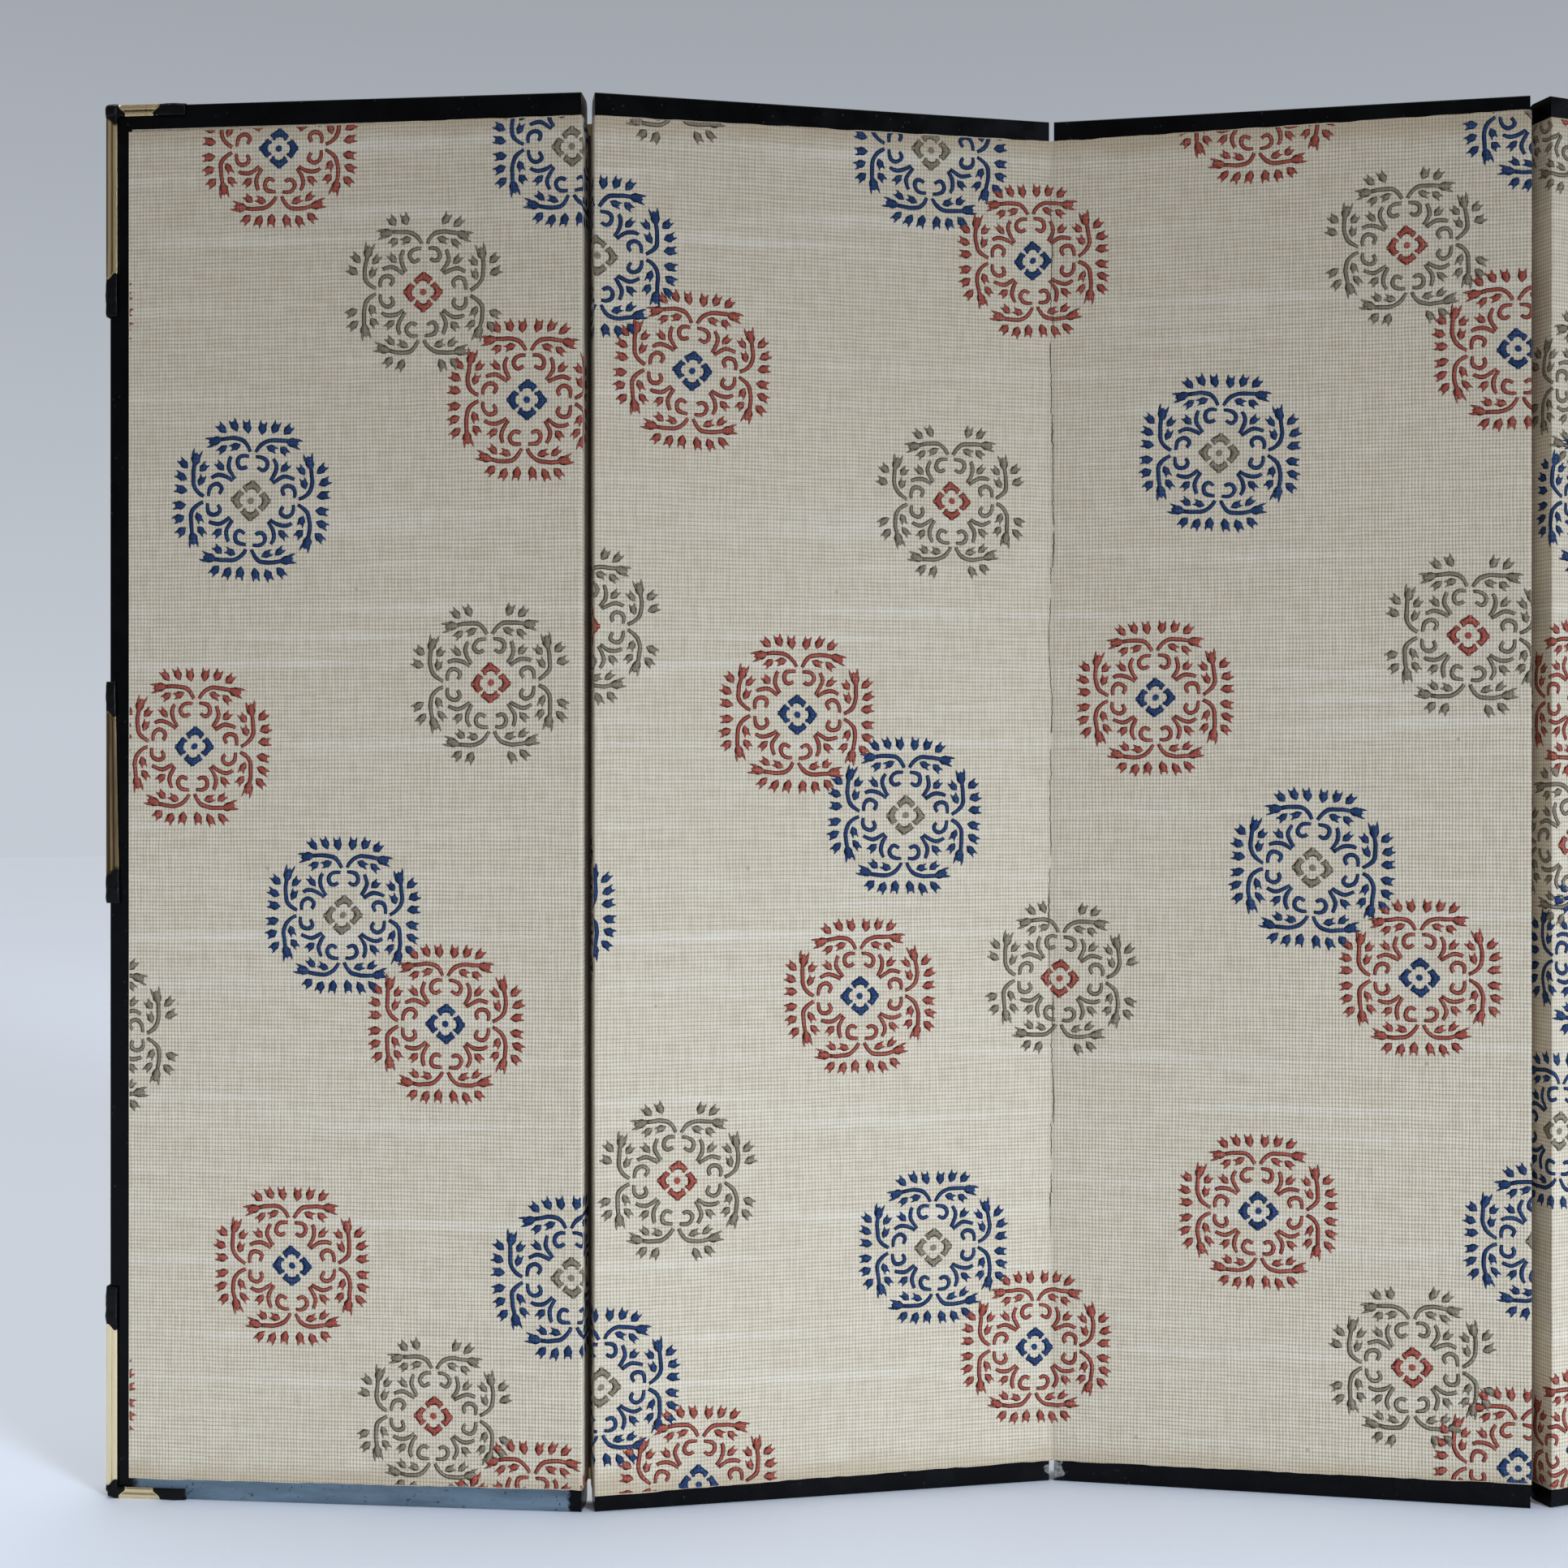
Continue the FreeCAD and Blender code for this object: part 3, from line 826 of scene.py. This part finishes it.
# Medallions of (colour, s, up) on each covering, s along it from the ridge edge, or from the crease.
MEDALLIONS_1 = [
    ("red", -65.4, 289.7), ("blue", -2.0, 288.4), ("grey", -34.0, 258.3), ("red", -114.5, 256.7),
    ("red", -11.6, 235.0), ("blue", -71.6, 214.5), ("grey", -19.5, 175.1), ("red", -84.2, 161.8),
    ("blue", -51.5, 125.8), ("red", -29.1, 102.8), ("grey", -104.9, 99.7), ("red", -62.7, 50.8),
    ("blue", -2.0, 49.5), ("red", -114.0, 22.1), ("grey", -31.7, 19.5), ("red", -10.7, -2.2),
]
MEDALLIONS_23 = [
    ("grey", -84.0, 307.0), ("blue", -27.5, 292.0), ("red", -4.4, 268.9), ("blue", -100.3, 265.3),
    ("red", -79.9, 241.8), ("grey", -22.9, 215.5), ("grey", -103.7, 187.3), ("red", -57.2, 168.8),
    ("blue", -33.3, 146.9), ("blue", -113.0, 126.7), ("grey", 1.8, 111.0), ("red", -43.3, 107.9),
    ("grey", -83.1, 69.4), ("blue", -26.9, 52.8), ("red", -3.9, 29.8), ("blue", -99.5, 26.3),
    ("red", -78.7, 4.4), ("red", 44.0, 300.9), ("blue", 103.7, 296.6), ("grey", 75.3, 269.0),
    ("red", 98.0, 246.1), ("blue", 36.2, 225.8), ("grey", 88.1, 185.4), ("red", 22.4, 172.6),
    ("blue", 55.7, 135.6), ("red", 78.1, 112.3), ("red", 44.3, 61.1), ("blue", 103.7, 56.9),
    ("grey", 76.5, 28.9), ("red", 98.0, 8.4),
]
MEDALLIONS_4 = [
    ("grey", 10.4, 238.0), ("blue", 12.6, 214.0), ("red", 8.2, 172.0), ("grey", 6.0, 141.0),
    ("blue", 10.4, 117.0), ("blue", 2.0, 80.0), ("red", 34.0, 262.0), ("blue", 66.0, 284.0),
    ("red", 88.0, 244.0), ("grey", 52.0, 206.0), ("red", 76.0, 178.0), ("blue", 44.0, 152.0),
    ("grey", 86.0, 122.0), ("red", 56.0, 92.0), ("blue", 90.0, 62.0), ("grey", 34.0, 42.0),
    ("red", 66.0, 18.0), ("red", 8.0, 12.0), ("blue", 98.0, 302.0), ("grey", 6.0, 296.0),
]
MEDALLION_REACH = 18.0
STAMP_LIFT = 0.014
CLOTH_SWELL = 0.07
EDGE_MARGIN = 0.2


def cut_away(bm, place, way):
    """Cuts a flat print off past a line, and closes what the cut opens."""
    bmesh.ops.bisect_plane(bm, geom=whole(bm), dist=1e-5, plane_co=(*place, 0), plane_no=(*way, 0),
                           clear_outer=True)
    bmesh.ops.holes_fill(bm, edges=[edge for edge in bm.edges if edge.is_boundary], sides=0)


def stamped(kind, s, up, tilt, grow, phase, cloth):
    """One flower or wreath in its flat place, a little uneven, and cut off at the cloth's edges."""
    bm = bmesh.new()
    bm.from_mesh(MEDALLIONS[kind])
    for vert in bm.verts:
        x, y = vert.co.x, vert.co.y
        vert.co.x = x + 0.13 * math.sin(y * 0.55 + phase) + 0.05 * math.sin(y * 1.9 + phase * 2)
        vert.co.y = y + 0.13 * math.sin(x * 0.5 + phase * 1.7) + 0.05 * math.sin(x * 2.1 + phase)
    turn = Matrix.Rotation(tilt, 4, "Z") @ Matrix.Diagonal((grow, grow, 1, 1))
    bmesh.ops.transform(bm, matrix=Matrix.Translation((s, up, 0)) @ turn, verts=bm.verts)
    path, bottom, top = cloth
    middle = min(max(s, path.start), path.end)
    for limit, side in ((path.start + EDGE_MARGIN, -1), (path.end - EDGE_MARGIN, 1)):
        if (s + side * MEDALLION_REACH - limit) * side > 0:
            cut_away(bm, (limit, up), (side, 0))
    for edge, side in ((bottom, -1), (top, 1)):
        limit = edge(middle) - side * EDGE_MARGIN
        if (up + side * MEDALLION_REACH - limit) * side > 0 and bm.verts:
            slope = (edge(middle + 4) - edge(middle - 4)) / 8
            cut_away(bm, (middle, limit), (-slope * side, side))
    return as_mesh(kind, bm)


def add_prints(cover, cloth, medallions, paints):
    """The cloth's printed medallions, one piece to a colour, cut to the cloth and bent with it."""
    path = cloth[0]
    sorts = {"red": [], "blue": [], "grey": []}
    for colour, s, up in medallions:
        hand = (math.radians(draws.uniform(-3, 3)), draws.uniform(0.935, 0.975), draws.uniform(0, 6))
        sorts[colour].append(("spare" if colour == "grey" else "wreath", s, up, *hand))
        sorts[MIDDLES[colour]].append(("flower", s, up, *hand))
    pieces = []
    for colour, stamps in sorts.items():
        bm = bmesh.new()
        for stamp in stamps:
            bm.from_mesh(stamped(*stamp, cloth))
        slice_at(bm, path.turns)
        for vert in bm.verts:
            vert.co.z += ripple(vert.co.x, vert.co.y, CLOTH_SWELL) + STAMP_LIFT
        lay_flat(bm, path)
        bmesh.ops.recalc_face_normals(bm, faces=bm.faces)
        piece = add_mesh(f"print_{colour}_{cover}", bm, paints[colour])
        pieces.append(piece)
    return pieces


# ---- coverings and hinge strips

CLOTH_WALL = 0.34
PAPER_WALL = 0.24
PAPER_SWELL = 0.05
CORNER_TURN = 0.5
FOLD_TURN = 1.0


def add_cover(cover, path, bottom, top, paint, prints, medallions, panels):
    """A cloth cover with its prints, standing for the CAD covers of its panels."""
    columns = round(path.length / 2.2)
    piece = add_sheet(f"cloth_cover_{cover}", path, CLOTH_WALL, paint, bottom, top, columns, rows=130,
                      ragged=0.09, swell=CLOTH_SWELL)
    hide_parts(*[f"{panel.body}_cloth_cover" for panel in panels])
    pieces = [piece] + add_prints(cover, (path, bottom, top), medallions, prints)
    for part in pieces:
        if len(panels) == 2:
            bend_with(part, *panels, "crease_2_3")
        else:
            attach(part, panels[0].body)
    middle = (path.start + path.end) / 2
    flat = ((path.end - path.start) * MM, (top(middle) - bottom(middle)) * MM)


def add_covers(p1, p2, p3, p4):
    """Three cloths on the backs: one on each end panel, and one across the two middle ones."""
    plain, creased = cloth_paint("printed_cloth", False), cloth_paint("printed_cloth_creased", True)
    plain_prints = {colour: print_paint(colour, False) for colour in PRINT_TONES}
    creased_prints = {colour: print_paint(colour, True) for colour in PRINT_TONES}
    (_, lap), (_, depth), _ = p1.span("cloth_cover")
    path_1 = Path([p1.plan(lap, 0), p1.plan(0, 0), p1.plan(0, depth)], [CORNER_TURN], 0)
    add_cover("1", path_1, piecewise((-99, 4.3), (0, 4.8)), piecewise((-99, 294.1), (0, 294.9)),
              plain, plain_prints, MEDALLIONS_1, [p1])
    fold = crossing_of(p2, p3, 0)
    path_23 = Path([p2.plan(0, depth), p2.plan(0, 0), fold, p3.plan(0, 0), p3.plan(0, depth)],
                   [CORNER_TURN, FOLD_TURN, CORNER_TURN], 1)
    add_cover("23", path_23, piecewise((-100, 3.4), (-60, 4.1), (0, 4.6), (100, 5.3)),
              piecewise((-100, 294.9), (0, 295.5), (100, 296.8)),
              creased, creased_prints, MEDALLIONS_23, [p2, p3])
    path_4 = Path([p4.plan(0, depth), p4.plan(0, 0), p4.plan(lap, 0)], [CORNER_TURN], 0)
    add_cover("4", path_4, piecewise((0, 4.0), (99, 4.6)), piecewise((0, 295.3), (99, 294.8)),
              plain, plain_prints, MEDALLIONS_4, [p4])


def add_papers(p1, p2, p3, p4):
    """Gilded papers on the fronts, each across one ridge and round its inner panel's crease side."""
    paint = leaf_paint()
    (_, lap), (_, back), (low, high) = p1.span("paper_face")
    (_, width), (wrap, _), _ = p2.span("paper_face")
    ends = piecewise((0, low)), piecewise((0, high))
    path_12 = Path([p2.plan(width, wrap), p2.plan(width, back), crossing_of(p1, p2, back),
                    p1.plan(lap, back)], [CORNER_TURN, FOLD_TURN], 1)
    path_34 = Path([p4.plan(lap, back), crossing_of(p3, p4, back), p3.plan(width, back),
                    p3.plan(width, wrap)], [FOLD_TURN, CORNER_TURN], 0)
    for name, path, left, right, joint in (("12", path_12, p1, p2, "ridge_1_2"),
                                           ("34", path_34, p3, p4, "ridge_3_4")):
        piece = add_sheet(f"paper_face_{name}", path, PAPER_WALL, paint, *ends, columns=90, rows=100,
                          ragged=0.06, swell=PAPER_SWELL)
        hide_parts(f"{left.body}_paper_face", f"{right.body}_paper_face")
        bend_with(piece, left, right, joint)


def add_strips(p1, p2, p3, p4):
    """Hinge strips under the coverings, each bending at its own fold."""
    paint = strip_paint()
    for name, left, right, joint, leaf in (("12", p1, p2, "ridge_1_2", "ridge_hinge_leaf"),
                                           ("23", p2, p3, "crease_2_3", "crease_hinge_leaf"),
                                           ("34", p3, p4, "ridge_3_4", "ridge_hinge_leaf")):
        (near, far), (front, back), (low, high) = left.span(leaf)
        reach = far if leaf == "ridge_hinge_leaf" else near
        path = Path([left.plan(reach, front), crossing_of(left, right, front), right.plan(reach, front)],
                    [FOLD_TURN], 0)
        piece = add_sheet(f"hinge_strip_{name}", path, back - front, paint, piecewise((0, low)),
                          piecewise((0, high)), columns=16, rows=60, ragged=0.1)
        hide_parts(f"{left.body}_{leaf}", f"{right.body}_{leaf}")
        bend_with(piece, left, right, joint)
        (high - low) * MM


# ---- brass fittings

FITTING_WALL = 0.42
OUTER_TURN = 0.6
INNER_TURN = 1.9
# Where along a leg the grid is brass; the rest at its two ends is daubed black.
GOLD_SHARE = (0.22, 0.72)
REED_PITCH = 1.15
REED_HEIGHT = 0.16
LIP_HEIGHT = 0.17
LIP_WIDTH = 0.5
DAUB_HEIGHT = 0.42
FLANGE_ROUNDING = 0.3


def section_path(panel, piece, flange):
    """The fitting's section round an edge: w is 0 at the outer face and runs inwards as it falls."""
    near, far = panel.span(piece)[1]
    return Path([(-flange, near), (0, near), (0, far), (-flange, far)], [OUTER_TURN, INNER_TURN], 0)


def add_leg(bm, path, placed, flange, gold, ends, slant, seed):
    """A stamped leg: reeded brass between two slanted ends, with black daubed lumps past them."""
    part = bmesh.new()
    bmesh.ops.create_grid(part, x_segments=132, y_segments=96, size=0.5)
    reed = part.verts.layers.float.new("reed")
    shares = {}
    for vert in part.verts:
        s = path.start + (vert.co.x + 0.5) * path.length
        share = shares[vert] = vert.co.y + 0.5
        out = min(1.0, (s - path.start) / flange, (path.end - s) / flange)
        curl = slant * (1 - out) + 0.35 * math.sin(out * math.tau)
        low, high = gold[0] + curl, gold[1] - curl
        t = float(np.interp(share, (0, *GOLD_SHARE, 1), (ends[0], low, high, ends[1])))
        drop = min(1.0, (s - path.start) / FLANGE_ROUNDING, (path.end - s) / FLANGE_ROUNDING)
        if GOLD_SHARE[0] - 0.001 <= share <= GOLD_SHARE[1] + 0.001:
            crest = abs(math.sin(math.pi * (s - path.start) / REED_PITCH))
            lip = max(0.0, 1 - min(t - low, high - t) / LIP_WIDTH)
            proud = 0.02 + REED_HEIGHT * crest * (1 - lip) + LIP_HEIGHT * lip * lip
            vert[reed] = max(crest, 1 - drop, min(1.0, lip * 1.5))
        else:
            reach = (low - t) / (low - ends[0]) if t < low else (t - high) / (ends[1] - high)
            lump = noise.noise(Vector((s * 0.55, t * 0.5, seed))) * 0.5 + 0.5
            proud = 0.06 + DAUB_HEIGHT * lump * math.sin(math.pi * min(1.0, reach * 0.94 + 0.06)) ** 0.6
        vert.co = (s, t, proud * (0.35 + 0.65 * drop))
    for face in part.faces:
        middle = sum(shares[vert] for vert in face.verts) / len(face.verts)
        face.material_index = 0 if GOLD_SHARE[0] < middle < GOLD_SHARE[1] else 1
        face.smooth = True
    lay_flat(part, path, placed)
    bm.from_mesh(as_mesh("leg", part))


KNOB_SIZE = 2.95
KNOB_INSET = 1.28


def add_knob(bm, panel, placed, near, far):
    """The black rounded lump over the very corner."""
    part = bmesh.new()
    bmesh.ops.create_cube(part, size=1)
    bmesh.ops.bevel(part, geom=part.edges[:], offset=0.30, offset_type="OFFSET", affect="EDGES", segments=5,
                    profile=0.5, material=-1)
    bmesh.ops.subdivide_edges(part, edges=[edge for edge in part.edges if edge.calc_length() > 0.3], cuts=5,
                              use_grid_fill=True)
    for vert in part.verts:
        x, y, z = vert.co
        lump = noise.noise(Vector((x * 2.2, y * 5, z * 2.2 + panel.number))) * 0.12
        across = (near + far) / 2 + y * (far - near + 0.3 + lump)
        size = KNOB_SIZE + lump
        vert.co = placed(-KNOB_INSET + x * size, across, KNOB_INSET + z * size) * MM
    bmesh.ops.recalc_face_normals(part, faces=part.faces)
    for face in part.faces:
        face.material_index = 1
        face.smooth = True
    bm.from_mesh(as_mesh("knob", part))


def add_fitting(panel, piece, bm, brass, daub):
    """Gives the stamped shape its wall, and lets it stand for its CAD node."""
    fitting = add_mesh(f"{panel.body}_{piece}_detailed", bm, brass, daub)
    wall = fitting.modifiers.new("wall", "SOLIDIFY")
    wall.thickness = FITTING_WALL * MM
    wall.offset = -1
    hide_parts(f"{panel.body}_{piece}")
    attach(fitting, panel.body)


CORNER_FLANGE = 2.5


def add_corner_fitting(panel, end, brass, daub):
    """A long leg down or up the stile, a short one along the rail, and the lump over their corner."""
    piece = f"{end}_corner_fitting"
    (inner, outer), (near, far), (low, high) = panel.span(piece)
    side, edge = (1, high) if end == "top" else (-1, low)
    path = section_path(panel, piece, CORNER_FLANGE)
    seed = panel.number + (10 if end == "top" else 20)

    def up_stile(w, across, t):
        return panel.at(outer + w, across, edge - side * t)

    def along_rail(w, across, t):
        return panel.at(outer - t, across, edge + side * w)

    bm = bmesh.new()
    add_leg(bm, path, up_stile, CORNER_FLANGE, gold=(2.9, 37.5), ends=(1.4, high - low), slant=1.1, seed=seed)
    add_leg(bm, path, along_rail, CORNER_FLANGE, gold=(2.9, 11.9), ends=(1.4, outer - inner), slant=1.3,
            seed=seed + 3)
    add_knob(bm, panel, up_stile, near, far)
    add_fitting(panel, piece, bm, brass, daub)


MIDDLE_FLANGE = 3.0
MIDDLE_NARROWEST = 2.1


def add_middle_fitting(panel, brass, daub):
    """The edge fitting at half height, set a little askew, so that its flange widens downwards."""
    (_, outer), _, (low, high) = panel.span("middle_fitting")
    path = section_path(panel, "middle_fitting", MIDDLE_FLANGE)

    def askew(w, across, up):
        width = np.interp(up, (low, high), (MIDDLE_FLANGE, MIDDLE_NARROWEST))
        return panel.at(outer + w * width / MIDDLE_FLANGE, across, up)

    bm = bmesh.new()
    add_leg(bm, path, askew, MIDDLE_FLANGE, gold=(134.4, 169.4), ends=(low, high), slant=1.0,
            seed=panel.number + 40)
    add_fitting(panel, "middle_fitting", bm, brass, daub)


TACK_HEAD = 0.95
TACK_FLATNESS = 0.42
SHANK_RADIUS = 0.38
SHANK_LENGTH = 3.4
TACK_SPACING = 5


def add_tacks(panel, paint):
    """Low round tack heads on short shanks, standing where the CAD tacks do."""
    node = NODES[f"{panel.body}_fitting_tacks"]
    (_, tip), (near, far), _ = panel.span("fitting_tacks")
    ups = sorted(v.co.z / MM for v in node.data.vertices)
    rows = [[ups[0]]]
    for up in ups[1:]:
        if up - rows[-1][-1] > TACK_SPACING:
            rows.append([])
        rows[-1].append(up)
    bm = bmesh.new()
    to_edge = Matrix((panel.out, panel.across, UP)).transposed().to_4x4()
    head = Matrix.Diagonal((TACK_FLATNESS, 1, 1, 1))
    shank = Matrix.Translation((-1.8, 0, 0)) @ Matrix.Rotation(math.radians(90), 4, "Y")
    for row in rows:
        centre = panel.at(tip - 0.12, (near + far) / 2, (row[0] + row[-1]) / 2)
        place = Matrix.Scale(MM, 4) @ Matrix.Translation(centre) @ to_edge
        bmesh.ops.create_uvsphere(bm, u_segments=20, v_segments=10, radius=TACK_HEAD, matrix=place @ head)
        bmesh.ops.create_cone(bm, cap_ends=True, segments=12, radius1=SHANK_RADIUS, radius2=SHANK_RADIUS,
                              depth=SHANK_LENGTH, matrix=place @ shank)
    bmesh.ops.recalc_face_normals(bm, faces=bm.faces)
    for face in bm.faces:
        face.smooth = True
    tacks = add_mesh(f"{panel.body}_round_tacks", bm, paint)
    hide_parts(f"{panel.body}_fitting_tacks")
    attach(tacks, panel.body)


# ---- carried-over CAD nodes

def paint_node(node, paint):
    for slot in NODES[node].material_slots:
        slot.material = paint


def paint_frames(panels):
    """Lacquer on the rails and stiles, wood, bamboo and paperboard inside."""
    lacquer = lacquer_paint("black_lacquer")
    softwood = grain_paint("softwood", (0.46, 0.33, 0.19), (0.34, 0.22, 0.11), stretch=(260, 260, 26),
                           rings=70)
    bamboo = grain_paint("bamboo", (0.52, 0.42, 0.22), (0.38, 0.28, 0.12), stretch=(900, 900, 60), rings=200)
    board = board_paint()
    finishes = {"top_rail": lacquer, "bottom_rail": lacquer, "stile": lacquer, "batten_core": softwood,
                "frame_pins": bamboo, "back_board": board, "front_board": board}
    for panel in panels:
        for piece, paint in finishes.items():
            if f"{panel.body}_{piece}" in NODES:
                paint_node(f"{panel.body}_{piece}", paint)
    p1, p2, p3, _ = panels
    for panel, reach in ((p2, 1.3), (p3, 2.4)):
        (_, end), (near, _), (low, high) = panel.span("bottom_rail")
        peeled = (panel.at(end, near, (low + high) / 2) * MM, reach * MM)
        paint_node(f"{panel.body}_bottom_rail", lacquer_paint(f"black_lacquer_peeled_{panel.number}", peeled))
    # Panel 1's bottom rail carries a painted reflection of the window light.
    low, high = p1.span("bottom_rail")[0]
    reflection_span = (p1.at(high, 0).x * MM, p1.at(low + 2.2, 0).x * MM)
    paint_node("panel_1_bottom_rail", lacquer_paint("black_lacquer_bloomed", reflection_span=reflection_span))


# ---- the whole screen

scene.view_settings.view_transform = "Standard"
add_camera()
add_window()
add_overhead()
add_room()
add_floor()
panels = [Panel(number) for number in (1, 2, 3, 4)]
MEDALLIONS = medallion_meshes()
add_covers(*panels)
add_papers(*panels)
add_strips(*panels)
brass, daub, tack = brass_paint(), daubed_paint(), tack_paint()
for panel in (panels[0], panels[3]):
    add_corner_fitting(panel, "top", brass, daub)
    add_corner_fitting(panel, "bottom", brass, daub)
    add_middle_fitting(panel, brass, daub)
    add_tacks(panel, tack)
paint_frames(panels)
